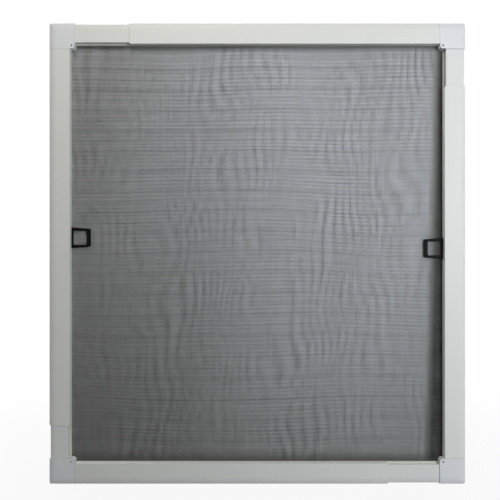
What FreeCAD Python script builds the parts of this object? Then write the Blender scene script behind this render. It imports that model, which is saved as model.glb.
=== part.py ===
import FreeCAD, Part
import os
import re

import Sketcher

# A telescopic insect-screen frame, upright, seen from the front along +Y: +X right, +Z up.
# The front faces lie in the plane Y = 0 and the depth runs to +Y.
# The origin is the centre of the four corner screw holes, in the front plane.
#
# Every side is drawn in a frame of its own. u runs along the side, clockwise from its first
# corner, v runs from the outer edge inwards and w runs from the front to the back.
# In the body of a side, u is +X, v is -Z and w is +Y, and the body is turned about Y.

# Driving sizes in millimetres, each written once.
SIZES = [
    ("rail_width", 33.0, "face width of an outer sleeve"),
    ("rail_depth", 13.0, "depth of an outer sleeve, front to back"),
    ("wall", 1.1, "sheet thickness of both sleeves"),
    ("slide_gap", 0.4, "clearance between the inner and the outer sleeve, each side"),
    ("inner_setback", 1.0, "how much further the inner sleeve stays back from the opening"),
    ("edge_band", 10.0, "width over which the front face rounds off to the outer edge"),
    ("edge_drop", 2.0, "how far the front face falls back at the outer edge"),
    ("rebate_width", 12.0, "width of the rebate at the back for the mesh strip"),
    ("rebate_depth", 4.0, "depth of that rebate"),
    ("sleeve_across", 500.0, "length of the top and bottom sleeves"),
    ("sleeve_upright", 600.0, "length of the left and right sleeves"),
    ("pulled_across", 88.0, "inner sleeve pulled out at the top and bottom"),
    ("pulled_upright", 60.0, "inner sleeve pulled out at the left and right"),
    ("bottom_longer", 5.0, "bottom outer sleeve longer than the top one, at its open end"),
    ("left_longer", 7.0, "left outer sleeve longer than the right one, at its open end"),
    ("mouth_round", 2.0, "rounding of the corners at the open end of an outer sleeve"),
    ("corner_size", 41.0, "length of a corner moulding along each side"),
    ("corner_round", 3.0, "rounding of its outer upright edge"),
    ("corner_face", 3.0, "thickness of its front"),
    ("corner_wall", 2.5, "thickness of its side walls and ribs"),
    ("leg_length", 35.0, "length of its legs in the sleeves"),
    ("leg_gap", 0.25, "clearance of a leg in its sleeve, each side"),
    ("leg_lead", 0.8, "chamfer round the tip of a leg"),
    ("boss_reach", 2.7, "screw boss centre past the inner edges of both rails"),
    ("boss_radius", 5.0, "radius of the screw boss"),
    ("boss_gap", 0.1, "clearance between the boss and the mesh"),
    ("screw_radius", 1.5, "radius of the screw hole"),
    ("screw_depth", 10.0, "depth of the screw hole"),
    ("notch_gap", 0.3, "clearance of the mesh strips round the boss"),
    ("groove_inset", 3.4, "spline groove from the outer edge of the strip"),
    ("groove_width", 3.2, "width of the spline groove"),
    ("groove_depth", 3.0, "depth of the spline groove"),
    ("land_drop", 0.6, "how far the land under the mesh lies below the back"),
    ("spline_gap", 0.1, "clearance round the spline"),
    ("cloth_thickness", 0.4, "thickness of the mesh"),
    ("hem_depth", 1.2, "how far the mesh is turned into the groove"),
    ("gap_columns", 10, "columns of gaps in the mesh"),
    ("gap_rows", 12, "rows of gaps in the mesh"),
    ("gap_bar", 12.0, "band of weave between two gaps"),
    ("thread_width", 1.6, "width of a thread ridge on the mesh"),
    ("thread_height", 0.2, "height of a thread ridge"),
    ("thread_step", 4.0, "spacing of the thread ridges on a band"),
    ("thread_gap", 0.5, "clearance between a thread ridge and the strips"),
    ("handle_front", 8.4, "front of the handles behind the front of the frame"),
    ("handle_thickness", 3.0, "thickness of a handle"),
    ("handle_reach", 31.0, "how far a handle stands out from the strip"),
    ("handle_base", 34.0, "height of a handle at the strip"),
    ("handle_tip", 29.3, "height of a handle at its free end"),
    ("handle_gap", 0.2, "clearance between a handle and the strip"),
    ("handle_edge", 0.6, "bevel along the edges of a handle"),
    ("handle_corner", 3.2, "rounding of the free corners of a handle"),
    ("finger_height", 22.8, "height of the finger hole"),
    ("finger_corner", 2.0, "rounding of the corners of the finger hole"),
    ("base_bar", 2.7, "bar of the handle beside the strip"),
    ("end_bar", 6.3, "bar of the handle at the free end"),
    ("bead_width", 2.0, "width of the bead along the end bar"),
    ("bead_height", 0.5, "height of that bead"),
    ("tongue_width", 26.0, "width of the handle's tongue"),
    ("tongue_thickness", 1.0, "thickness of the tongue"),
    ("tongue_depth", 3.8, "how far the tongue reaches into the strip"),
    ("tongue_place", 1.5, "middle of the tongue behind the front of the strip"),
    ("tongue_gap", 0.1, "clearance round the tongue in its slot"),
    ("left_handle_rise", 25.7, "left handle above the middle of the frame"),
    ("right_handle_rise", 8.5, "right handle above the middle of the frame"),
    ("overcut", 1.0, "how far a cut runs past the surface that it opens"),
]
NAMES = {name for name, number, meaning in SIZES}

SIDES = ["top", "right", "bottom", "left"]
CORNERS = ["top_left", "top_right", "bottom_right", "bottom_left"]
TOP, RIGHT, BOTTOM, LEFT = range(4)
# How a sketch numbers the points of one of its edges.
SKETCH_POINT = {"start": 1, "end": 2, "centre": 3}

# Worked-out sizes, as expressions of the driving ones.
FRAME_WIDTH = "(2 * corner_size + pulled_across + sleeve_across)"
FRAME_HEIGHT = "(2 * corner_size + pulled_upright + sleeve_upright)"
EDGE_RADIUS = "((edge_band ^ 2 + edge_drop ^ 2) / (2 * edge_drop))"
INNER_INSET = "(wall + slide_gap)"
BOSS_PLACE = "(rail_width + boss_reach)"
STRIP_EDGE = "(rail_width - rebate_width)"
STRIP_FRONT = "(rail_depth - rebate_depth)"
LAND_BACK = "(rail_depth - land_drop)"
GROOVE_OUTER = f"({STRIP_EDGE} + groove_inset)"
GROOVE_INNER = f"({GROOVE_OUTER} + groove_width)"
GROOVE_FLOOR = "(rail_depth - groove_depth)"
SPLINE_RADIUS = "((groove_width - cloth_thickness) / 2 - spline_gap)"
SPLINE_PLACE = f"({GROOVE_OUTER} + spline_gap + {SPLINE_RADIUS})"
HEM_EDGE = f"({GROOVE_INNER} - cloth_thickness)"
HANDLE_ROOT = "(rail_width + handle_gap)"
HANDLE_END = f"({HANDLE_ROOT} + handle_reach)"
TONGUE_MIDDLE = f"({STRIP_FRONT} + tongue_place)"
LEFT_HANDLE = f"({FRAME_HEIGHT} / 2 + left_handle_rise)"
RIGHT_HANDLE = f"({FRAME_HEIGHT} / 2 - right_handle_rise)"

doc = FreeCAD.newDocument("WindowScreenFrame")
sheet = doc.addObject("Spreadsheet::Sheet", "Sizes")
for row, (name, number, meaning) in enumerate(SIZES, start=1):
    sheet.set(f"A{row}", meaning)
    sheet.set(f"B{row}", str(number))
    sheet.setAlias(f"B{row}", name)
doc.recompute()


def bound(expression):
    """The expression with every size name written as a reference to the sheet."""
    def refer(match):
        word = match.group()
        return f"Sizes.{word}" if word in NAMES else word
    return re.sub(r"[a-z_]+", refer, expression)


def value(expression):
    """The number that an expression of the sizes has now."""
    return float(sheet.evalExpression(bound(expression)))


def near(first, second):
    """Whether two lengths are the same to well under a micrometre."""
    return abs(first - second) < 1e-5


def side_length(side):
    """Length of a side of the frame over its two corners."""
    return FRAME_WIDTH if side in (TOP, BOTTOM) else FRAME_HEIGHT


def sleeve_length(side):
    return "sleeve_across" if side in (TOP, BOTTOM) else "sleeve_upright"


def pulled_length(side):
    return "pulled_across" if side in (TOP, BOTTOM) else "pulled_upright"


def longer(side):
    """How much longer the outer sleeve of a side is than its inner sleeve."""
    return {BOTTOM: "bottom_longer", LEFT: "left_longer"}.get(side, "0")


def new_body(label):
    body = doc.addObject("PartDesign::Body", label)
    body.Label = label
    return body


def side_body(label, side):
    """A body in the frame of one side: turned about Y and set on the side's first corner."""
    body = new_body(label)
    turn = FreeCAD.Rotation(FreeCAD.Vector(0, 1, 0), 90 * side)
    body.Placement = FreeCAD.Placement(FreeCAD.Vector(), turn)
    to_left = "-" if side in (TOP, LEFT) else ""
    to_bottom = "-" if side in (BOTTOM, LEFT) else ""
    body.setExpression("Placement.Base.x", bound(f"{to_left}{FRAME_WIDTH} / 2"))
    body.setExpression("Placement.Base.z", bound(f"{to_bottom}{FRAME_HEIGHT} / 2"))
    return body


def new_sketch(body, plane, name, offset="0"):
    """A sketch on one of the body's own origin planes, moved along the plane's normal."""
    support = [item for item in body.Origin.OriginFeatures if item.Role == plane][0]
    sketch = body.newObject("Sketcher::SketchObject", f"{body.Name}_{name}")
    sketch.AttachmentSupport = [(support, "")]
    sketch.MapMode = "FlatFace"
    sketch.setExpression("AttachmentOffset.Base.z", bound(offset))
    return sketch


def face_sketch(body, name, depth="0"):
    """A sketch in (u, -v), parallel to the front and lying at a depth w behind it."""
    return new_sketch(body, "XZ_Plane", name, f"-({depth})")


def hold(sketch, constraint, name, expression):
    """Add a constraint and bind its value to an expression of the sizes."""
    index = sketch.addConstraint(constraint)
    sketch.renameConstraint(index, name)
    sketch.setExpression(f"Constraints.{name}", bound(expression))


def add_outline(sketch, points, arcs=None):
    """A closed outline. Edge i joins point i to the next, and arcs gives its centre and radius."""
    arcs = arcs or {}
    forwards = (SKETCH_POINT["start"], SKETCH_POINT["end"])
    first = sketch.GeometryCount
    spots = [FreeCAD.Vector(value(x), value(y), 0) for x, y in points]
    count = len(spots)
    ends = []
    for i in range(count):
        here = spots[i]
        there = spots[(i + 1) % count]
        if i not in arcs:
            sketch.addGeometry(Part.LineSegment(here, there))
            ends.append(forwards)
            continue
        centre = FreeCAD.Vector(value(arcs[i][0]), value(arcs[i][1]), 0)
        circle = Part.Circle(centre, FreeCAD.Vector(0, 0, 1), value(arcs[i][2]))
        leftward = (here - centre).cross(there - centre).z > 0
        begin, finish = (here, there) if leftward else (there, here)
        sketch.addGeometry(Part.ArcOfCircle(circle, circle.parameter(begin), circle.parameter(finish)))
        ends.append(forwards if leftward else forwards[::-1])
    for i in range(count):
        after = (i + 1) % count
        sketch.addConstraint(
            Sketcher.Constraint("Coincident", first + i, ends[i][1], first + after, ends[after][0]))
    for i in range(count):
        x, y = points[i]
        place = (first + i, ends[i][0])
        hold(sketch, Sketcher.Constraint("DistanceX", *place, spots[i].x), f"x{first + i}", x)
        hold(sketch, Sketcher.Constraint("DistanceY", *place, spots[i].y), f"y{first + i}", y)
    for i, (x, y, radius) in arcs.items():
        hold(sketch, Sketcher.Constraint("Radius", first + i, value(radius)), f"r{first + i}", radius)


def add_rectangle(sketch, left, right, low, high):
    add_outline(sketch, [(left, low), (right, low), (right, high), (left, high)])


def add_circle(sketch, x, y, radius):
    middle = SKETCH_POINT["centre"]
    centre = FreeCAD.Vector(value(x), value(y), 0)
    index = sketch.addGeometry(Part.Circle(centre, FreeCAD.Vector(0, 0, 1), value(radius)))
    hold(sketch, Sketcher.Constraint("DistanceX", index, middle, centre.x), f"x{index}", x)
    hold(sketch, Sketcher.Constraint("DistanceY", index, middle, centre.y), f"y{index}", y)
    hold(sketch, Sketcher.Constraint("Radius", index, value(radius)), f"r{index}", radius)


def extrude(body, kind, name, sketch, length, flipped):
    """A Pad along the sketch's normal or a Pocket against it, turned round if flipped."""
    feature = body.newObject(f"PartDesign::{kind}", f"{body.Name}_{name}")
    feature.Profile = sketch
    feature.setExpression("Length", bound(length))
    feature.Reversed = flipped
    return feature


def pad_back(body, name, sketch, length):
    """Fill a face sketch towards the back."""
    return extrude(body, "Pad", name, sketch, length, True)


def cut_back(body, name, sketch, length):
    """Cut a face sketch towards the back."""
    return extrude(body, "Pocket", name, sketch, length, False)


def edges_where(feature, chosen):
    """Names of the feature's edges whose two ends satisfy a test."""
    doc.recompute()
    names = []
    for index, edge in enumerate(feature.Shape.Edges, start=1):
        if chosen(edge.Vertexes[0].Point, edge.Vertexes[-1].Point):
            names.append(f"Edge{index}")
    return names


def finish_edges(body, kind, name, base, edges, size):
    """A Fillet or Chamfer on the named edges of a feature."""
    feature = body.newObject(f"PartDesign::{kind}", f"{body.Name}_{name}")
    feature.Base = (base, edges)
    feature.setExpression("Radius" if kind == "Fillet" else "Size", bound(size))
    return feature


def linear_pattern(body, name, sketch, axis, count, length):
    """A row along an axis of the sketch, over a length from its first copy to its last."""
    pattern = body.newObject("PartDesign::LinearPattern", f"{body.Name}_{name}")
    pattern.Direction = (sketch, [axis])
    pattern.setExpression("Length", bound(length))
    pattern.setExpression("Occurrences", bound(count))
    pattern.Refine = False
    return pattern


def rail_section(inset, setback):
    """The rail's outline as (v, w), drawn in from the outer sleeve's outside by the inset.

    The edge at the opening is drawn back further by the setback.
    """
    edge_depth = f"{EDGE_RADIUS} - sqrt(({EDGE_RADIUS} - {inset}) ^ 2 - (edge_band - {inset}) ^ 2)"
    return [
        (inset, edge_depth),
        ("edge_band", inset),
        (f"rail_width - {inset} - {setback}", inset),
        (f"rail_width - {inset} - {setback}", f"{STRIP_FRONT} - {inset}"),
        (f"{STRIP_EDGE} - {inset}", f"{STRIP_FRONT} - {inset}"),
        (f"{STRIP_EDGE} - {inset}", f"rail_depth - {inset}"),
        (inset, f"rail_depth - {inset}"),
    ]


def across_u(points):
    """Points given as (v, w), for a sketch across u, which is drawn in (w, -v)."""
    return [(w, f"-({v})") for v, w in points]


def add_section_along_u(sketch, inset, setback="0"):
    arc = (EDGE_RADIUS, "-edge_band", f"{EDGE_RADIUS} - {inset}")
    add_outline(sketch, across_u(rail_section(inset, setback)), {0: arc})


def add_section_along_v(sketch, inset):
    arc = ("edge_band", EDGE_RADIUS, f"{EDGE_RADIUS} - {inset}")
    add_outline(sketch, rail_section(inset, "0"), {0: arc})


def make_sleeve(label, side, inset, setback, start, length):
    """A tube of the rail's section."""
    body = side_body(label, side)
    section = new_sketch(body, "YZ_Plane", "section", start)
    add_section_along_u(section, inset, setback)
    add_section_along_u(section, f"({inset} + wall)", setback)
    extrude(body, "Pad", "tube", section, length, False)
    return body


def make_outer_sleeve(side):
    """The outer tube, with the two corners of its open end rounded off."""
    start = f"(corner_size + {pulled_length(side)} - {longer(side)})"
    length = f"{sleeve_length(side)} + {longer(side)}"
    body = make_sleeve(f"{SIDES[side]}_outer_sleeve", side, "0", "0", start, length)
    past = f"{start} - overcut"
    inside = f"{start} + mouth_round"
    corners = face_sketch(body, "mouth", "-overcut")
    add_outline(
        corners,
        [(past, "overcut"), (inside, "overcut"), (inside, "0"), (start, "-mouth_round"),
         (past, "-mouth_round")],
        {2: (inside, "-mouth_round", "mouth_round")})
    inner_turn = "mouth_round - rail_width"
    add_outline(
        corners,
        [(past, inner_turn), (start, inner_turn), (inside, "-rail_width"),
         (inside, "-rail_width - overcut"), (past, "-rail_width - overcut")],
        {1: (inside, inner_turn, "mouth_round")})
    cut_back(body, "mouth_cut", corners, "rail_depth + 2 * overcut")


def make_inner_sleeve(side):
    """The inner tube, from its corner into the outer sleeve."""
    make_sleeve(f"{SIDES[side]}_inner_sleeve", side, INNER_INSET, "inner_setback", "corner_size",
                sleeve_length(side))


def edge_sliver():
    """What the rounded front edge takes away, as (v, w). Its third edge is the arc."""
    return [("-overcut", "-overcut"), ("edge_band", "-overcut"), ("edge_band", "0"),
            ("0", "edge_drop"), ("-overcut", "edge_drop")]


def make_corner_block(body):
    """The L-shaped face with its two rounded outer edges."""
    face = face_sketch(body, "face")
    add_outline(
        face,
        [("corner_round", "0"), ("corner_size", "0"), ("corner_size", "-rail_width"),
         ("rail_width", "-rail_width"), ("rail_width", "-corner_size"), ("0", "-corner_size"),
         ("0", "-corner_round")],
        {6: ("corner_round", "-corner_round", "corner_round")})
    pad_back(body, "block", face, "rail_depth")
    cut_length = "corner_size + 2 * overcut"

    along_u = new_sketch(body, "YZ_Plane", "edge_along_u", "-overcut")
    add_outline(along_u, across_u(edge_sliver()), {2: (EDGE_RADIUS, "-edge_band", EDGE_RADIUS)})
    extrude(body, "Pocket", "edge_u", along_u, cut_length, True)

    along_v = new_sketch(body, "XY_Plane", "edge_along_v", "overcut")
    add_outline(along_v, edge_sliver(), {2: ("edge_band", EDGE_RADIUS, EDGE_RADIUS)})
    extrude(body, "Pocket", "edge_v", along_v, cut_length, False)


def cut_corner_back(body):
    """The seat of the mesh strips and the three cored-out pockets between the ribs."""
    past = "corner_size + overcut"
    rebate = face_sketch(body, "rebate", STRIP_FRONT)
    add_outline(
        rebate,
        [(STRIP_EDGE, f"-{STRIP_EDGE}"), (past, f"-{STRIP_EDGE}"), (past, f"-({past})"),
         (STRIP_EDGE, f"-({past})")])
    cut_back(body, "rebate_cut", rebate, "rebate_depth + overcut")

    near_edge = "corner_wall"
    far_edge = f"{STRIP_EDGE} - corner_wall"
    next_edge = STRIP_EDGE
    last_edge = "corner_size - corner_wall"
    core = face_sketch(body, "core", "corner_face")
    add_rectangle(core, near_edge, far_edge, f"-({far_edge})", f"-{near_edge}")
    add_rectangle(core, next_edge, last_edge, f"-({far_edge})", f"-{near_edge}")
    add_rectangle(core, near_edge, far_edge, f"-({last_edge})", f"-{next_edge}")
    cut_back(body, "core_cut", core, "rail_depth")


def make_corner_boss(body):
    """The screw boss in the inner corner, flush with the front, and its blind hole."""
    boss = face_sketch(body, "boss")
    add_circle(boss, BOSS_PLACE, f"-{BOSS_PLACE}", "boss_radius")
    pad_back(body, "boss_pad", boss, f"{LAND_BACK} - boss_gap")
    hole = face_sketch(body, "screw_hole")
    add_circle(hole, BOSS_PLACE, f"-{BOSS_PLACE}", "screw_radius")
    cut_back(body, "screw_cut", hole, "screw_depth")


def make_corner_legs(body):
    """A leg into the inner sleeve along u and a leg into the outer sleeve along v."""
    leg_u = new_sketch(body, "YZ_Plane", "leg_along_u", "corner_size")
    add_section_along_u(leg_u, f"({INNER_INSET} + wall + leg_gap)", "inner_setback")
    extrude(body, "Pad", "leg_u", leg_u, "leg_length", False)

    leg_v = new_sketch(body, "XY_Plane", "leg_along_v", "-corner_size")
    add_section_along_v(leg_v, "(wall + leg_gap)")
    legs = extrude(body, "Pad", "leg_v", leg_v, "leg_length", True)

    reach = value("corner_size + leg_length")
    tips = edges_where(legs, lambda a, b: near(a.x, reach) and near(b.x, reach))
    tips += edges_where(legs, lambda a, b: near(a.z, -reach) and near(b.z, -reach))
    finish_edges(body, "Chamfer", "leg_tips", legs, tips, "leg_lead")


def make_corner(side):
    """A moulded corner between the end of one side and the start of the next."""
    body = side_body(f"{CORNERS[side]}_corner", side)
    make_corner_block(body)
    cut_corner_back(body)
    make_corner_boss(body)
    make_corner_legs(body)


def make_mesh_strip(side, handle_place=None):
    """A channel strip in the rebate, mitred at both ends and notched round the bosses."""
    body = side_body(f"{SIDES[side]}_mesh_strip", side)
    length = side_length(side)
    section = new_sketch(body, "YZ_Plane", "section", STRIP_EDGE)
    add_outline(section, across_u([
        (STRIP_EDGE, STRIP_FRONT), ("rail_width", STRIP_FRONT), ("rail_width", LAND_BACK),
        (GROOVE_INNER, LAND_BACK), (GROOVE_INNER, GROOVE_FLOOR), (GROOVE_OUTER, GROOVE_FLOOR),
        (GROOVE_OUTER, "rail_depth"), (STRIP_EDGE, "rail_depth")]))
    extrude(body, "Pad", "channel", section, f"{length} - 2 * {STRIP_EDGE}", False)

    ahead = f"{STRIP_FRONT} - overcut"
    through = "rebate_depth + 2 * overcut"
    low = f"{STRIP_EDGE} - overcut"
    high = "rail_width + overcut"
    mitre = face_sketch(body, "mitre", ahead)
    add_outline(mitre, [(low, f"-({low})"), (high, f"-({high})"), (low, f"-({high})")])
    add_outline(mitre, [(f"{length} - ({low})", f"-({low})"), (f"{length} - ({low})", f"-({high})"),
                        (f"{length} - ({high})", f"-({high})")])
    cut_back(body, "mitre_cut", mitre, through)

    notch = face_sketch(body, "notch", ahead)
    for place in (BOSS_PLACE, f"{length} - {BOSS_PLACE}"):
        add_circle(notch, place, f"-{BOSS_PLACE}", "boss_radius + notch_gap")
    cut_back(body, "notch_cut", notch, through)

    if handle_place:
        half = "(tongue_width / 2 + tongue_gap)"
        slot = face_sketch(body, "slot", f"{TONGUE_MIDDLE} - tongue_thickness / 2 - tongue_gap")
        add_rectangle(slot, f"{handle_place} - {half}", f"{handle_place} + {half}",
                      f"-({high})", "-(rail_width - tongue_depth - tongue_gap)")
        cut_back(body, "slot_cut", slot, "tongue_thickness + 2 * tongue_gap")


def make_spline(side):
    """A round cord in the groove. Each length ends against the side of the next one."""
    body = side_body(f"{SIDES[side]}_spline", side)
    first = f"({SPLINE_PLACE} - {SPLINE_RADIUS})"
    last = f"({side_length(side)} - {SPLINE_PLACE} - {SPLINE_RADIUS} - spline_gap)"
    section = new_sketch(body, "YZ_Plane", "section", first)
    add_circle(section, f"{GROOVE_FLOOR} + spline_gap + {SPLINE_RADIUS}", f"-{SPLINE_PLACE}",
               SPLINE_RADIUS)
    extrude(body, "Pad", "cord", section, f"{last} - {first}", False)


def make_mesh():
    """The screen: a thin wall with a turned hem, a grid of gaps and thread ridges on the bands."""
    body = new_body("mesh")
    hem_front = f"{LAND_BACK} - hem_depth"
    half_width = f"({FRAME_WIDTH} / 2 - {HEM_EDGE})"
    half_height = f"({FRAME_HEIGHT} / 2 - {HEM_EDGE})"
    open_width = f"({FRAME_WIDTH} - 2 * rail_width)"
    open_height = f"({FRAME_HEIGHT} - 2 * rail_width)"
    pitch_across = f"({open_width} / gap_columns)"
    pitch_upright = f"({open_height} / gap_rows)"
    left = f"(-{open_width} / 2)"
    low = f"(-{open_height} / 2)"

    whole = face_sketch(body, "whole", hem_front)
    add_rectangle(whole, f"-{half_width}", half_width, f"-{half_height}", half_height)
    pad_back(body, "wall", whole, "hem_depth + cloth_thickness")
    inside = face_sketch(body, "inside", f"{hem_front} - overcut")
    inner_width = f"({half_width} - cloth_thickness)"
    inner_height = f"({half_height} - cloth_thickness)"
    add_rectangle(inside, f"-{inner_width}", inner_width, f"-{inner_height}", inner_height)
    cut_back(body, "inside_cut", inside, "hem_depth + overcut")

    upright = face_sketch(body, "upright_threads", f"{LAND_BACK} - thread_height")
    level = face_sketch(body, "level_threads", f"{LAND_BACK} + cloth_thickness")
    for step in ("- thread_step", "+ 0", "+ thread_step"):
        add_rectangle(upright, f"{left} + {pitch_across} {step} - thread_width / 2",
                      f"{left} + {pitch_across} {step} + thread_width / 2",
                      f"{low} + thread_gap", f"-{low} - thread_gap")
        add_rectangle(level, f"{left} + thread_gap", f"-{left} - thread_gap",
                      f"{low} + {pitch_upright} {step} - thread_width / 2",
                      f"{low} + {pitch_upright} {step} + thread_width / 2")
    first_uprights = pad_back(body, "first_uprights", upright, "thread_height")
    uprights = linear_pattern(body, "uprights", upright, "H_Axis", "gap_columns - 1",
                              f"{pitch_across} * (gap_columns - 2)")
    uprights.Originals = [first_uprights]
    body.Tip = uprights

    first_levels = pad_back(body, "first_levels", level, "thread_height")
    levels = linear_pattern(body, "levels", level, "V_Axis", "gap_rows - 1",
                            f"{pitch_upright} * (gap_rows - 2)")
    levels.Originals = [first_levels]
    body.Tip = levels

    gap = face_sketch(body, "gap", f"{LAND_BACK} - overcut")
    add_rectangle(gap, f"{left} + gap_bar / 2", f"{left} + {pitch_across} - gap_bar / 2",
                  f"{low} + gap_bar / 2", f"{low} + {pitch_upright} - gap_bar / 2")
    first_gap = cut_back(body, "first_gap", gap, "cloth_thickness + 2 * overcut")
    gaps = body.newObject("PartDesign::MultiTransform", "mesh_gaps")
    gaps.Originals = [first_gap]
    gaps.Refine = False
    gaps.Transformations = [
        linear_pattern(body, "columns", gap, "H_Axis", "gap_columns",
                       f"{pitch_across} * (gap_columns - 1)"),
        linear_pattern(body, "rows", gap, "V_Axis", "gap_rows",
                       f"{pitch_upright} * (gap_rows - 1)")]
    body.Tip = gaps


def make_handle(side, place):
    """A flat pull loop with a bead along its end bar and a tongue in the mesh strip."""
    body = side_body(f"{SIDES[side]}_handle", side)
    finger_start = f"({HANDLE_ROOT} + base_bar)"
    finger_end = f"({HANDLE_END} - end_bar)"
    loop = face_sketch(body, "loop", "handle_front")
    add_outline(loop, [
        (f"{place} - handle_base / 2", f"-{HANDLE_ROOT}"),
        (f"{place} + handle_base / 2", f"-{HANDLE_ROOT}"),
        (f"{place} + handle_tip / 2", f"-{HANDLE_END}"),
        (f"{place} - handle_tip / 2", f"-{HANDLE_END}")])
    add_rectangle(loop, f"{place} - finger_height / 2", f"{place} + finger_height / 2",
                  f"-{finger_end}", f"-{finger_start}")
    plate = pad_back(body, "plate", loop, "handle_thickness")

    def runs_back(a, b):
        return near(a.x, b.x) and near(a.z, b.z)

    free_end = value(f"-{HANDLE_END}")
    hole_sides = [value(f"-{finger_start}"), value(f"-{finger_end}")]
    corners = edges_where(plate, lambda a, b: runs_back(a, b) and near(a.z, free_end))
    rounded = finish_edges(body, "Fillet", "corners", plate, corners, "handle_corner")
    corners = edges_where(rounded, lambda a, b: runs_back(a, b)
                          and any(near(a.z, z) for z in hole_sides))
    rounded = finish_edges(body, "Fillet", "finger_corners", rounded, corners, "finger_corner")
    faces = [value("handle_front"), value("handle_front + handle_thickness")]
    rims = edges_where(rounded, lambda a, b: near(a.y, b.y) and any(near(a.y, y) for y in faces))
    finish_edges(body, "Chamfer", "rims", rounded, rims, "handle_edge")

    bead_middle = f"({HANDLE_END} - end_bar / 2)"
    bead_half = "(handle_tip / 2 - handle_corner)"
    bead = face_sketch(body, "bead", "handle_front - bead_height")
    add_rectangle(bead, f"{place} - {bead_half}", f"{place} + {bead_half}",
                  f"-{bead_middle} - bead_width / 2", f"-{bead_middle} + bead_width / 2")
    pad_back(body, "bead_pad", bead, "bead_height + handle_thickness / 2")

    tongue = face_sketch(body, "tongue", f"{TONGUE_MIDDLE} - tongue_thickness / 2")
    add_rectangle(tongue, f"{place} - tongue_width / 2", f"{place} + tongue_width / 2",
                  f"-({HANDLE_ROOT} + base_bar / 2)", "tongue_depth - rail_width")
    pad_back(body, "tongue_pad", tongue, "tongue_thickness")


for number in range(len(SIDES)):
    make_outer_sleeve(number)
    make_inner_sleeve(number)
    make_corner(number)
    make_spline(number)
make_mesh_strip(TOP)
make_mesh_strip(BOTTOM)
make_mesh_strip(LEFT, LEFT_HANDLE)
make_mesh_strip(RIGHT, RIGHT_HANDLE)
make_handle(LEFT, LEFT_HANDLE)
make_handle(RIGHT, RIGHT_HANDLE)
make_mesh()
doc.recompute()

for item in doc.Objects:
    if "Invalid" in item.State or "Error" in item.State:
        raise RuntimeError(f"{item.Name} failed: {item.State}")
bodies = [item for item in doc.Objects if item.isDerivedFrom("PartDesign::Body")]
for body in bodies:
    if body.Shape.isNull() or not body.Shape.isValid() or len(body.Shape.Solids) != 1:
        raise RuntimeError(f"{body.Label} is not one valid solid")

os.makedirs("parts", exist_ok=True)
for body in bodies:
    body.Shape.exportStep(f"parts/{body.Label}.step")
    print(f"{body.Label}: {body.Shape.Volume:.0f} cubic millimetres")
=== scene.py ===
import math

import bpy
import numpy as np
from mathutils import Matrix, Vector


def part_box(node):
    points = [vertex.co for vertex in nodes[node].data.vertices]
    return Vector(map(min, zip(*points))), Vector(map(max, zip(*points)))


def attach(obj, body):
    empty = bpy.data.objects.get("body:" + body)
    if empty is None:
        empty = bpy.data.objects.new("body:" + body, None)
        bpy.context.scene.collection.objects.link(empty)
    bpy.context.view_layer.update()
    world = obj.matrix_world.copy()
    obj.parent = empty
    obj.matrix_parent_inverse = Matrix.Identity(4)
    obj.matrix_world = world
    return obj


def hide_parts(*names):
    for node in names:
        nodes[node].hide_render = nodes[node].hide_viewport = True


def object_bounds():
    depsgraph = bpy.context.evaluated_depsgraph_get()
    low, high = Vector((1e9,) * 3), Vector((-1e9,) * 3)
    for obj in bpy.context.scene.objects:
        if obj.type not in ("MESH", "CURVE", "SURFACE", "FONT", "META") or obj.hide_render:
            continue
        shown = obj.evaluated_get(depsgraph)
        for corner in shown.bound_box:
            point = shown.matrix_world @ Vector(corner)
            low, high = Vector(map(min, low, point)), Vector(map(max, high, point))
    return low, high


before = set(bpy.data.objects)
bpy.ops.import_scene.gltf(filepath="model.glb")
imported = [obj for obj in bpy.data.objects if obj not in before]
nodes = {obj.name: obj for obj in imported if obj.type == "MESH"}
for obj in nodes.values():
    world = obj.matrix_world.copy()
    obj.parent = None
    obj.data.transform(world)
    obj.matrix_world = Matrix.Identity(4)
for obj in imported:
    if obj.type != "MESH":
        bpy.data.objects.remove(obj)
cad_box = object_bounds()

# Sizes are in metres, in the frame of the part: +X right, +Y to the back, +Z up.
SIDES = ["top", "right", "bottom", "left"]
LEVEL_SIDES = ["top", "bottom"]
HANDLE_SIDES = ["left", "right"]
CORNERS = ["top_left", "top_right", "bottom_right", "bottom_left"]
# On these sides the inner sleeve shows at the high end of its axis, on the others at the low end.
SHOWING_AT_HIGH_END = ["right", "bottom"]

FULL_TURN = 2.0 * math.pi
WHITE = (1.0, 1.0, 1.0)
# Corners of a square, in order round it.
SQUARE = [(-1.0, -1.0), (1.0, -1.0), (1.0, 1.0), (-1.0, 1.0)]

# The camera looks straight along +Y at the front plane.
CAMERA_DISTANCE = 0.95
CAMERA_X = -0.0118
CAMERA_Z = 0.0058
VIEW_WIDTH = 0.8046
# The sensor's width is in millimetres.
SENSOR_WIDTH = 36.0

# Painted shade in lines where two pieces meet, for the shade in the gaps between them: half width,
# and depth as a share.
SEAM_SHADE_HALF_WIDTH = 0.0012
CORNER_SEAM_SHADE = 0.45
MOUTH_SEAM_SHADE = 0.3
FLUSH_SEAM_SHADE = 0.3

# Noise in the materials: the middle of its values, and its octaves.
NOISE_LOW = 0.3
NOISE_HIGH = 0.7
GRAIN_OCTAVES = 2.0
CLOUD_OCTAVES = 3.0

# The coat of the sleeves: noise in features for each metre, and depths of bump.
SLEEVE_WHITES = {"outer": (0.80, 0.80, 0.77), "inner": (0.79, 0.79, 0.765)}
COAT_GLOSS = 0.35
COAT_ROUGHNESS = 0.5
COAT_ROUGHNESS_LOW = 0.46
COAT_ROUGHNESS_HIGH = 0.56
COAT_CLOUDS = 9.0
COAT_SHADE = 0.975
PEEL_GRAINS = 900.0
PEEL_DEPTH = 0.00006
DRAW_LINES = 420.0
DRAW_STRETCH = 0.02
DRAW_DEPTH = 0.00004

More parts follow.
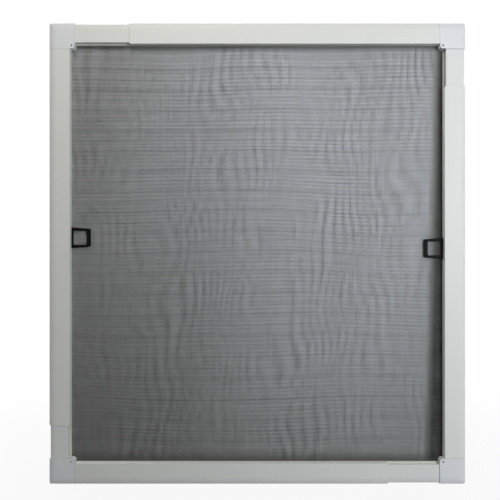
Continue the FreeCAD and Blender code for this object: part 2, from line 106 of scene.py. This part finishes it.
# Moulded pieces: colour, roughness, grains for each metre, and gloss.
PLAIN_GLOSS = 0.5
PLASTICS = {
    "corner_plastic": ((0.79, 0.795, 0.81), 0.4, 1400.0, PLAIN_GLOSS),
    # The strip's white is dimmed and tinted olive as painted shade, the tint its faces take in
    # shade.
    "strip_plastic": ((0.715, 0.725, 0.64), 0.55, 900.0, PLAIN_GLOSS),
    "spline_rubber": ((0.05, 0.05, 0.052), 0.6, 1100.0, PLAIN_GLOSS),
    "handle_plastic": ((0.003, 0.003, 0.0033), 0.5, 1300.0, 0.06),
}
PLASTIC_ROUGHNESS_CHANGE = 0.06
PLASTIC_CLOUDS = 24.0
PLASTIC_SHADE = 0.96
PLASTIC_GRAIN_DEPTH = 0.00005

# The coat of the threads.
THREAD_GREY = (0.114, 0.114, 0.12)
THREAD_GLOSS = 0.25
THREAD_ROUGHNESS = 0.5
THREAD_ROUGHNESS_CHANGE = 0.08
THREAD_CLOUDS = 60.0
THREAD_DARK = 0.75
THREAD_PALE = 1.25
THREAD_GRAINS = 500.0

# The mesh is two layers of threads with square sections.
THREAD_SEED = 7
THREAD_RADIUS = 0.000189
# With four sides, the ends of a thread are faces with four corners, as its walls are.
THREAD_SIDES = 4
# The middle of the mesh lies this far in front of the back of the CAD mesh.
MESH_INSET = 0.0004
# The layers lie this far before and behind the middle.
LAYER_OFFSET = 0.00015
# In its last stretch a thread turns forward into the groove.
HEM_TURN = 0.0005
# The cloth waves gently, and less towards the outermost threads by this power.
WAVE_REACH = 0.45
WAVE_HEIGHT = 0.0032
HEM_POWER = 6
# A smooth field is a sum of waves, with lengths as shares of its reach.
FIELD_WAVES = 5
SHORTEST_WAVE = 0.5
LONGEST_WAVE = 1.5
# Threads stray by a share of the pitch and vary by a share of the width.
PLACE_NOISE = 0.06
WIDTH_NOISE = 0.06
LEAST_WIDTH = 0.45
MOST_WIDTH = 2.3
# Bands of thicker threads come and go over this reach.
FADE_REACH = 0.16
# A layer has a pitch, steps along a thread, and bands with a spacing, strength and sharpness.
# Its bands swing by a height over a reach.
# Their fading has a middle, a change, a least and a most.
UPRIGHTS = {
    "pitch": 0.00141,
    "steps": 38,
    "bands": [(0.0164, 0.62, 0.6), (0.0241, 0.18, 0.6)],
    "swing": (0.012, 0.16),
    "fading": (0.7, 0.6, 0.05, 1.6),
}
LEVELS = {
    "pitch": 0.00159,
    "steps": 16,
    "bands": [(0.0168, 0.4, 5.0), (0.0062, 0.72, 1.2), (0.0335, 0.2, 1.0)],
    "swing": (0.0013, 0.32),
    "fading": (0.9, 0.35, 0.45, 1.35),
}

# The floor lies just below the object. Its white share rises with the distance from the foot.
FLOOR_REACH = 6.0
FLOOR_DROP = 0.0006
FLOOR_GREY = (0.25, 0.25, 0.25)
FLOOR_ROUGHNESS = 0.9
FLOOR_GLOW_NEAR = 0.92
FLOOR_GLOW_FROM = 0.25
FLOOR_GLOW_TO = 0.9

# The board behind the mesh stands for the wall that is seen through it.
BOARD_DEPTH = 0.0133
BOARD_MARGIN = 0.0015
BOARD_ROUGHNESS = 1.0
BOARD_GLOSS = 0.0
BOARD_SHADE_TINT = (0.97, 0.99, 0.84)
BOARD_LIGHT_TINT = (0.95, 0.955, 1.0)
# The wall's shading is painted on the board as a product of falls.
# A fall has a direction over the board's width and height, its start and end, and the tones there.
BOARD_FALLS = {
    "whole board": ((0.5, 0.5), -0.1, 0.78, 0.34, 0.98),
    "bottom edge": ((0.0, 1.0), 0.0, 0.035, 0.28, 1.0),
    "top edge": ((0.0, 1.0), 0.98, 1.0, 1.0, 0.3),
    "right edge": ((1.0, -0.026), 0.938, 0.971, 1.0, 0.04),
    "right side": ((1.0, 0.0), 0.6, 0.95, 1.0, 0.9),
    "top left": ((-1.0, 1.0), 0.35, 0.9, 1.0, 0.84),
    "bottom right": ((1.0, -1.0), 0.35, 0.9, 1.0, 0.85),
}

# The light that comes from all round.
AMBIENT_COLOUR = (1.0, 0.975, 0.88)
AMBIENT_STRENGTH = 0.006
# Soft square lamps: place, the point they face, size, power in watts, and colour.
SIDE_FACE = cad_box[1].x
LAMPS = {
    "key": ((0.8, -1.2, 0.2), (0.6, 0.0, 0.1), 0.5, 13.1, (0.925, 0.965, 1.01)),
    "right_fill": ((0.75, 0.3, 0.1), (SIDE_FACE, 0.0, 0.0), 0.3, 1.4, WHITE),
    "left_fill": ((-0.75, 0.3, 0.1), (-SIDE_FACE, 0.0, 0.0), 0.3, 0.8, WHITE),
    "top_fill": ((-0.2, -0.6, 0.8), (-0.2, 0.0, 0.3), 0.4, 2.94, (1.0, 0.975, 0.9)),
    "back_fill": ((-0.9, 1.5, 0.9), (0.0, 0.0, 0.0), 1.0, 22.0, WHITE),
}


def opaque(colour):
    """A colour with full alpha."""
    return (*colour, 1.0)


def shade(colour, factor):
    """A colour made darker or paler by a factor."""
    return tuple(channel * factor for channel in colour)


class Graph:
    """A node tree, with short ways to add nodes and to feed their inputs."""

    def __init__(self, tree):
        self.tree = tree

    def node(self, kind, **settings):
        """A new node with some settings of its own."""
        made = self.tree.nodes.new(kind)
        for key, setting in settings.items():
            setattr(made, key, setting)
        return made

    def feed(self, node, inputs):
        """Feed inputs of a node, by name or number, from outputs or with plain values."""
        for key, source in inputs.items():
            if isinstance(source, bpy.types.NodeSocket):
                self.tree.links.new(source, node.inputs[key])
            else:
                node.inputs[key].default_value = source

    def calculate(self, operation, *terms):
        """A number worked out from one or two others."""
        made = self.node("ShaderNodeMath", operation=operation)
        self.feed(made, dict(enumerate(terms)))
        return made.outputs[0]

    def calculate_vector(self, operation, first, second, result):
        """A vector or a number worked out from two vectors."""
        made = self.node("ShaderNodeVectorMath", operation=operation)
        self.feed(made, {0: first, 1: second})
        return made.outputs[result]

    def map_range(self, value, start, end, low, high, interpolation="LINEAR"):
        """A number carried over from one range to another and kept inside it."""
        made = self.node("ShaderNodeMapRange", interpolation_type=interpolation)
        self.feed(made, {"Value": value, "From Min": start, "From Max": end})
        self.feed(made, {"To Min": low, "To Max": high})
        return made.outputs["Result"]

    def mix_colours(self, factor, first, second, blend_type="MIX"):
        """Two colours blended by a factor."""
        made = self.node("ShaderNodeMix", data_type="RGBA", blend_type=blend_type)
        places = [place for place, item in enumerate(made.inputs) if item.type == "RGBA"]
        self.feed(made, {0: factor, places[0]: first, places[1]: second})
        return [item for item in made.outputs if item.type == "RGBA"][0]

    def mix_shaders(self, factor, first, second, target):
        """Feed an output node with one shader, and with another where the factor is one."""
        made = self.node("ShaderNodeMixShader")
        self.feed(made, {0: factor, 1: first.outputs[0], 2: second.outputs[0]})
        self.feed(self.tree.nodes[target], {"Surface": made.outputs[0]})

    def seen_directly(self):
        """One where a ray comes from the camera, a reflection or a clear surface, else zero."""
        path = self.node("ShaderNodeLightPath")
        total = path.outputs["Is Camera Ray"]
        for kind in ("Is Glossy Ray", "Is Transmission Ray"):
            total = self.calculate("MAXIMUM", total, path.outputs[kind])
        return total


class Surface(Graph):
    """A material with a Principled shader, and the textures that feed it."""

    def __init__(self, name, colour, roughness, gloss):
        self.material = bpy.data.materials.new(name)
        self.material.use_nodes = True
        super().__init__(self.material.node_tree)
        self.shader = self.tree.nodes["Principled BSDF"]
        self.feed(self.shader, {"Base Color": opaque(colour), "Roughness": roughness})
        self.feed(self.shader, {"Specular IOR Level": gloss})
        self.coordinates = self.node("ShaderNodeTexCoord")
        self.place = self.coordinates.outputs["Object"]

    def noise(self, features, octaves, stretch=(1.0, 1.0, 1.0)):
        """Noise with a number of features for each metre, scaled along the axes."""
        mapping = self.node("ShaderNodeMapping")
        self.feed(mapping, {"Vector": self.place, "Scale": stretch})
        made = self.node("ShaderNodeTexNoise")
        self.feed(made, {"Vector": mapping.outputs["Vector"], "Scale": features, "Detail": octaves})
        return made.outputs["Fac"]

    def spread(self, noise, low, high):
        """The middle of a noise value, spread over a range."""
        return self.map_range(noise, NOISE_LOW, NOISE_HIGH, low, high)

    def clouds(self, features, dark, pale):
        """A colour that drifts between two over the piece."""
        cloud = self.noise(features, CLOUD_OCTAVES)
        return self.mix_colours(self.spread(cloud, 0.0, 1.0), opaque(dark), opaque(pale))

    def seam(self, axis, place):
        """A mask for painted seam shade: one on a line across an axis at a place, falling to zero
        beside it.
        """
        axes = self.node("ShaderNodeSeparateXYZ")
        self.feed(axes, {0: self.place})
        offset = self.calculate("SUBTRACT", axes.outputs[axis], place)
        distance = self.calculate("ABSOLUTE", offset)
        return self.map_range(distance, 0.0, SEAM_SHADE_HALF_WIDTH, 1.0, 0.0, "SMOOTHSTEP")

    def darken(self, colour, factor, depth):
        """A colour made darker by a depth where the factor is one."""
        return self.mix_colours(factor, colour, opaque(shade(WHITE, 1.0 - depth)), "MULTIPLY")

    def bump(self, heights):
        """A normal from pairs of a height value and a depth, one on top of the other."""
        normal = None
        for value, depth in heights:
            made = self.node("ShaderNodeBump")
            self.feed(made, {"Height": value, "Distance": depth})
            if normal is not None:
                self.feed(made, {"Normal": normal})
            normal = made.outputs["Normal"]
        return normal


def coated_sleeve(name, colour, along_x, ends):
    """White coat on drawn aluminium: orange peel, faint draw lines, and painted shade in thin lines
    at joints.
    """
    surface = Surface(name, colour, COAT_ROUGHNESS, COAT_GLOSS)
    stretch = (DRAW_STRETCH, 1.0, 1.0) if along_x else (1.0, 1.0, DRAW_STRETCH)
    draw = surface.noise(DRAW_LINES, CLOUD_OCTAVES, stretch)
    peel = surface.noise(PEEL_GRAINS, GRAIN_OCTAVES)
    tone = surface.clouds(COAT_CLOUDS, shade(colour, COAT_SHADE), colour)
    # Painted shade in thin lines at the sleeve's joints, for the shade in the gaps there.
    for place, depth in ends:
        line = surface.seam("X" if along_x else "Z", place)
        tone = surface.darken(tone, line, depth)
    surface.feed(surface.shader, {
        "Base Color": tone,
        "Roughness": surface.spread(draw, COAT_ROUGHNESS_LOW, COAT_ROUGHNESS_HIGH),
        "Normal": surface.bump([(peel, PEEL_DEPTH), (draw, DRAW_DEPTH)]),
    })
    return surface.material


def moulded_plastic(name, colour, roughness, grains, gloss):
    """Moulded plastic: fine grain, and a slight change of tone across the piece."""
    surface = Surface(name, colour, roughness, gloss)
    fine = surface.noise(grains, GRAIN_OCTAVES)
    smoothest = roughness - PLASTIC_ROUGHNESS_CHANGE
    roughest = roughness + PLASTIC_ROUGHNESS_CHANGE
    surface.feed(surface.shader, {
        "Base Color": surface.clouds(PLASTIC_CLOUDS, shade(colour, PLASTIC_SHADE), colour),
        "Roughness": surface.spread(fine, smoothest, roughest),
        "Normal": surface.bump([(fine, PLASTIC_GRAIN_DEPTH)]),
    })
    return surface.material


def coated_thread(name, colour):
    """Coated glass-fibre thread: dark grey, a little paler where the coat is thin."""
    surface = Surface(name, colour, THREAD_ROUGHNESS, THREAD_GLOSS)
    fine = surface.noise(THREAD_GRAINS, GRAIN_OCTAVES)
    smoothest = THREAD_ROUGHNESS - THREAD_ROUGHNESS_CHANGE
    roughest = THREAD_ROUGHNESS + THREAD_ROUGHNESS_CHANGE
    dark = shade(colour, THREAD_DARK)
    pale = shade(colour, THREAD_PALE)
    surface.feed(surface.shader, {
        "Base Color": surface.clouds(THREAD_CLOUDS, dark, pale),
        "Roughness": surface.spread(fine, smoothest, roughest),
    })
    return surface.material


def dress(node, material):
    """Give a CAD node a material."""
    nodes[node].data.materials.clear()
    nodes[node].data.materials.append(material)


def seam_shade_places(side, layer):
    """Places of the painted seam shade on a sleeve along its length, each with its depth."""
    axis = "x" if side in LEVEL_SIDES else "z"
    showing, hidden = (1, 0) if side in SHOWING_AT_HIGH_END else (0, 1)
    ends = [getattr(corner, axis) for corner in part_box(f"{side}_{layer}_sleeve")]
    if layer == "outer":
        return [(ends[hidden], FLUSH_SEAM_SHADE)]
    mouth = getattr(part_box(f"{side}_outer_sleeve")[showing], axis)
    return [(ends[showing], CORNER_SEAM_SHADE), (mouth, MOUTH_SEAM_SHADE)]


def dress_nodes():
    """Give every CAD node but the mesh its material."""
    plastics = {name: moulded_plastic(name, *look) for name, look in PLASTICS.items()}
    for side in SIDES:
        for layer, colour in SLEEVE_WHITES.items():
            ends = seam_shade_places(side, layer)
            coat = coated_sleeve(f"{side}_{layer}_coat", colour, side in LEVEL_SIDES, ends)
            dress(f"{side}_{layer}_sleeve", coat)
        dress(f"{side}_mesh_strip", plastics["strip_plastic"])
        dress(f"{side}_spline", plastics["spline_rubber"])
    for corner in CORNERS:
        dress(f"{corner}_corner", plastics["corner_plastic"])
    for side in HANDLE_SIDES:
        dress(f"{side}_handle", plastics["handle_plastic"])


def add(name, data):
    """A new object in the scene."""
    made = bpy.data.objects.new(name, data)
    bpy.context.scene.collection.objects.link(made)
    return made


def smooth_field(rng, reach):
    """A smooth random function of two places, of about unit size."""
    turns = rng.uniform(0.0, FULL_TURN, FIELD_WAVES)
    lengths = rng.uniform(SHORTEST_WAVE * reach, LONGEST_WAVE * reach, FIELD_WAVES)
    angles = rng.uniform(0.0, FULL_TURN, FIELD_WAVES)

    def field(along, across):
        total = 0.0
        for turn, length, angle in zip(turns, lengths, angles):
            step = along * math.cos(angle) + across * math.sin(angle)
            total = total + np.sin(FULL_TURN * step / length + turn)
        return total / math.sqrt(FIELD_WAVES)
    return field


def thread_widths(rng, rest, along, bands, swing, fading):
    """Width factors of threads, which are thicker in bands that swing, come and go."""
    swing_height, swing_reach = swing
    middle, change, least, most = fading
    width = 1.0 + rng.normal(0.0, WIDTH_NOISE, (rest.size, along.size))
    shift = swing_height * smooth_field(rng, swing_reach)(along, rest)
    for spacing, strength, sharpness in bands:
        fade = smooth_field(rng, FADE_REACH)(along, rest)
        phase = FULL_TURN * (rest + shift) / spacing
        peak = np.exp(sharpness * (np.cos(phase) - 1.0))
        even = np.exp(-sharpness) * np.i0(sharpness)
        width += strength * np.clip(middle + change * fade, least, most) * (peak - even)
    return np.clip(width, LEAST_WIDTH, MOST_WIDTH)


def thread_rows(rng, half_across, half_along, pitch, steps, bands, swing, fading):
    """Centre lines of a row of threads in gently waving cloth, and their width factors."""
    count = int(round(2.0 * half_across / pitch)) + 1
    rest = np.linspace(-half_across, half_across, count)[:, None]
    flat = np.linspace(HEM_TURN - half_along, half_along - HEM_TURN, steps - 1)
    along = np.concatenate([[-half_along], flat, [half_along]])[None, :]
    wave = smooth_field(rng, WAVE_REACH)(along, rest)
    jitter = rng.normal(0.0, PLACE_NOISE * pitch, (count, 1))
    freedom = 1.0 - (rest / half_across) ** HEM_POWER
    across = rest + (WAVE_HEIGHT * wave + jitter) * freedom
    width = thread_widths(rng, rest, along, bands, swing, fading)
    return across, np.broadcast_to(along, across.shape), width


def thread_mesh(across, along, width, depth, hem_depth, upright):
    """Square-section prisms along the threads, their ends turned forward into the groove."""
    count, points = across.shape
    heights = np.full((count, points), depth)
    heights[:, [0, -1]] = hem_depth
    step = FULL_TURN / THREAD_SIDES
    angles = step / 2.0 + np.arange(THREAD_SIDES) * step
    radius = THREAD_RADIUS * width
    ring_across = across[:, :, None] + radius[:, :, None] * np.cos(angles)
    ring_depth = heights[:, :, None] + radius[:, :, None] * np.sin(angles)
    ring_along = np.broadcast_to(along[:, :, None], ring_across.shape)
    if upright:
        corners = np.stack([ring_across, ring_depth, ring_along], axis=-1)
    else:
        corners = np.stack([ring_along, ring_depth, ring_across], axis=-1)
    index = np.arange(count * points * THREAD_SIDES).reshape(count, points, THREAD_SIDES)
    here = index[:, :-1, :]
    after = index[:, 1:, :]
    walls = np.stack([here, np.roll(here, -1, 2), np.roll(after, -1, 2), after], axis=-1)
    faces = [walls.reshape(-1, walls.shape[-1]), index[:, 0, ::-1], index[:, -1, :]]
    return corners.reshape(-1, 3), np.concatenate(faces)


def make_mesh():
    """The insect screen as two layers of threads, its hem turned into the grooves."""
    rng = np.random.default_rng(THREAD_SEED)
    low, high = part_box("mesh")
    half_width = (high.x - low.x) / 2.0 - THREAD_RADIUS
    half_height = (high.z - low.z) / 2.0 - THREAD_RADIUS
    middle = high.y - MESH_INSET
    uprights = thread_rows(rng, half_width, half_height, **UPRIGHTS)
    levels = thread_rows(rng, half_height, half_width, **LEVELS)
    first_points, first_faces = thread_mesh(*uprights, middle - LAYER_OFFSET, low.y, True)
    more_points, more_faces = thread_mesh(*levels, middle + LAYER_OFFSET, low.y, False)
    points = np.concatenate([first_points, more_points])
    faces = np.concatenate([first_faces, more_faces + len(first_points)])
    mesh = bpy.data.meshes.new("insect_mesh")
    mesh.from_pydata(points.tolist(), [], faces.tolist())
    mesh.materials.append(coated_thread("thread_coat", THREAD_GREY))
    screen = add("insect_mesh", mesh)
    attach(screen, "root")
    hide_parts("mesh")


def plane(name, points, material):
    """A flat four-cornered piece of the stage."""
    mesh = bpy.data.meshes.new(name)
    mesh.from_pydata(points, [], [(0, 1, 2, 3)])
    mesh.materials.append(material)
    made = add(name, mesh)
    return made


def make_floor():
    """A plain pale floor: white further off, and near the object it keeps a soft shadow."""
    surface = Surface("floor_pale", FLOOR_GREY, FLOOR_ROUGHNESS, PLAIN_GLOSS)
    foot = (0.0, 0.0, cad_box[0].z)
    distance = surface.calculate_vector("DISTANCE", surface.place, foot, "Value")
    rise = surface.map_range(distance, FLOOR_GLOW_FROM, FLOOR_GLOW_TO, FLOOR_GLOW_NEAR, 1.0)
    share = surface.calculate("MULTIPLY", surface.seen_directly(), rise)
    glow = surface.node("ShaderNodeEmission")
    surface.feed(glow, {"Color": opaque(WHITE)})
    surface.mix_shaders(share, surface.shader, glow, "Material Output")
    level = cad_box[0].z - FLOOR_DROP
    corners = [(x * FLOOR_REACH, y * FLOOR_REACH, level) for x, y in SQUARE]
    plane("floor", corners, surface.material)


def board_tone(surface):
    """The painted shading of the board, with the frame's shadows along its edges, as the product of
    its falls.
    """
    place = surface.coordinates.outputs["Generated"]
    tone = None
    for (across, up), start, end, first, last in BOARD_FALLS.values():
        along = surface.calculate_vector("DOT_PRODUCT", place, (across, 0.0, up), "Value")
        fall = surface.map_range(along, start, end, first, last, "SMOOTHSTEP")
        tone = fall if tone is None else surface.calculate("MULTIPLY", tone, fall)
    return tone


def make_board():
    """A board just behind the mesh with the wall's shading on it, clear from the back."""
    surface = Surface("board_pale", BOARD_LIGHT_TINT, BOARD_ROUGHNESS, BOARD_GLOSS)
    tone = board_tone(surface)
    tint = surface.mix_colours(tone, opaque(BOARD_SHADE_TINT), opaque(BOARD_LIGHT_TINT))
    colour = surface.calculate_vector("MULTIPLY", tint, tone, "Vector")
    surface.feed(surface.shader, {"Base Color": colour})
    from_back = surface.node("ShaderNodeNewGeometry").outputs["Backfacing"]
    clear = surface.node("ShaderNodeBsdfTransparent")
    surface.mix_shaders(from_back, surface.shader, clear, "Material Output")
    # The camera sees the board behind the opening, so it grows with its distance.
    growth = (CAMERA_DISTANCE + BOARD_DEPTH) / (CAMERA_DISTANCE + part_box("mesh")[0].y)
    half_width = -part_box("left_mesh_strip")[1].x * growth + BOARD_MARGIN
    half_height = -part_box("bottom_mesh_strip")[1].z * growth + BOARD_MARGIN
    corners = [(x * half_width, BOARD_DEPTH, z * half_height) for x, z in SQUARE]
    board = plane("board", corners, surface.material)
    board.visible_shadow = False


def make_world():
    """A white surround, dimmer where it only lights the object."""
    world = bpy.data.worlds.new("studio")
    bpy.context.scene.world = world
    world.use_nodes = True
    graph = Graph(world.node_tree)
    ambient = world.node_tree.nodes["Background"]
    graph.feed(ambient, {"Color": opaque(AMBIENT_COLOUR), "Strength": AMBIENT_STRENGTH})
    white = graph.node("ShaderNodeBackground")
    graph.feed(white, {"Color": opaque(WHITE)})
    graph.mix_shaders(graph.seen_directly(), ambient, white, "World Output")


def aim(made, target):
    """Turn a lamp or camera so that it looks at a point."""
    direction = Vector(target) - made.location
    made.rotation_euler = direction.to_track_quat("-Z", "Y").to_euler()


def area_light(name, place, target, size, power, colour):
    """A soft square lamp that faces a point."""
    lamp = bpy.data.lights.new(name, "AREA")
    lamp.size = size
    lamp.energy = power
    lamp.color = colour
    made = add(name, lamp)
    made.location = place
    aim(made, target)


def make_camera():
    """The camera, which sees the frame as the photo does."""
    camera = bpy.data.cameras.new("camera")
    camera.sensor_width = SENSOR_WIDTH
    camera.lens = SENSOR_WIDTH * CAMERA_DISTANCE / VIEW_WIDTH
    made = add("camera", camera)
    made.location = (CAMERA_X, -CAMERA_DISTANCE, CAMERA_Z)
    aim(made, (CAMERA_X, 0.0, CAMERA_Z))
    bpy.context.scene.camera = made


dress_nodes()
make_mesh()
make_floor()
make_board()
make_world()
for lamp_name, settings in LAMPS.items():
    area_light(lamp_name, *settings)
make_camera()
bpy.context.scene.view_settings.view_transform = "Standard"
